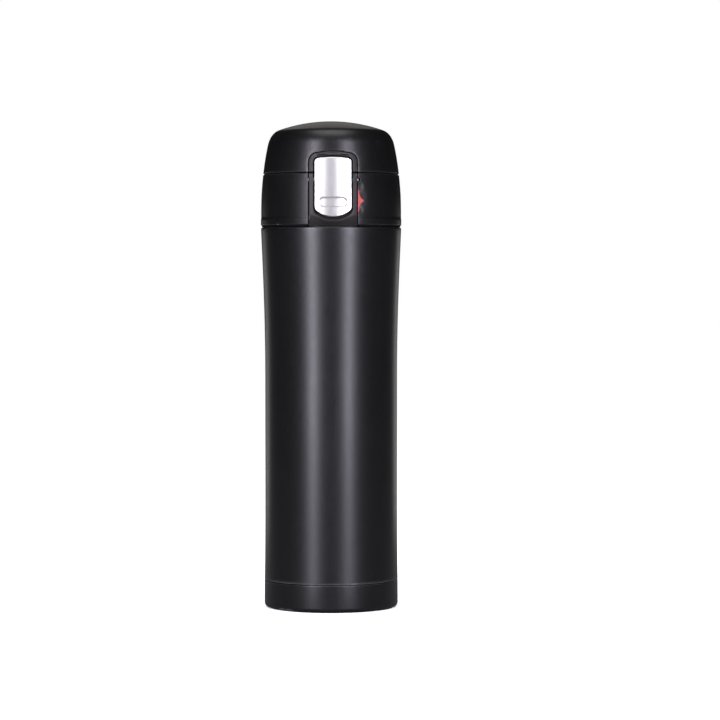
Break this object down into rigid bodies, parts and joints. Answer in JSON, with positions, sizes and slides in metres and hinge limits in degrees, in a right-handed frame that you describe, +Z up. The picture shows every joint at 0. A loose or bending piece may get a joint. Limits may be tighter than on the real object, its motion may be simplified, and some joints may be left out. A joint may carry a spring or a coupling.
{
  "type": "vacuum flask",
  "caption": "Slim double-walled steel flask with a screw-on lid unit: a hinged flip lid over a drinking spout, opened by a rocking push button with a slide lock.",
  "frame": {"origin": "centre of the base, on the surface that the flask stands on", "axes": "+Z up the flask's axis, -Y towards the push button, +X to the right of the button as seen from the front, +Y towards the lid's hinge"},
  "size_m": [0.0684, 0.0686, 0.2363],
  "materials": {
    "body_paint": "satin black",
    "bare_steel": "brushed, unpainted",
    "black_plastic": "fine matte texture",
    "frame_plastic": "smooth warm dark grey",
    "inner_plastic": "smooth moulded",
    "silver_plate": "bright satin",
    "red_plastic": "moulded",
    "silicone": "milky",
    "spring_steel": "drawn wire",
    "copper_foil": "thin foil",
    "getter_metal": "dull grey"
  },
  "bodies": {
    "flask": {"outer_shell": "body_paint", "inner_vessel": "bare_steel", "outer_bottom": "bare_steel", "evacuation_seal": "getter_metal", "getter": "getter_metal", "heat_foil": "copper_foil", "base_cup": "body_paint"},
    "neck_seal": {"neck_gasket": "silicone"},
    "lid_base": {"mouthpiece": "inner_plastic", "collar": "black_plastic", "latch_housing": "frame_plastic", "lever_pin": "spring_steel", "button_spring": "spring_steel", "hinge_pin": "spring_steel", "hinge_spring": "spring_steel"},
    "button": {"button_cover": "silver_plate", "latch_lever": "inner_plastic"},
    "lock": {"lock_slider": "red_plastic"},
    "lid": {"lid_shell": "black_plastic", "lid_liner": "inner_plastic", "lid_bezel": "frame_plastic", "seal_holder": "inner_plastic", "spout_seal": "silicone"}
  },
  "joints": [
    {"name": "lid_lift", "type": "slide", "parent": "flask", "child": "neck_seal", "axis": [0, 0, 1], "range_m": [0, 0.016]},
    {"name": "lid_turn", "type": "hinge", "parent": "neck_seal", "child": "lid_base", "pos_m": [0, 0, 0.195], "axis": [0, 0, 1], "range_deg": [0, 720]},
    {"name": "lid_hinge", "type": "hinge", "parent": "lid_base", "child": "lid", "pos_m": [0, 0.0302, 0.207], "axis": [-1, 0, 0], "range_deg": [0, 105], "deforming": ["hinge_spring"]},
    {"name": "button_press", "type": "hinge", "parent": "lid_base", "child": "button", "pos_m": [0, -0.03, 0.2069], "axis": [1, 0, 0], "range_deg": [0, 7], "stiffness_Nm_per_rad": 0.5, "deforming": ["button_spring"]},
    {"name": "lock_slide", "type": "slide", "parent": "lid_base", "child": "lock", "axis": [0, 0, 1], "range_m": [0, 0.003]}
  ],
  "couplings": [
    {"joint": "lid_lift", "follows": "lid_turn", "m_per_rad": 0.0012732}
  ]
}
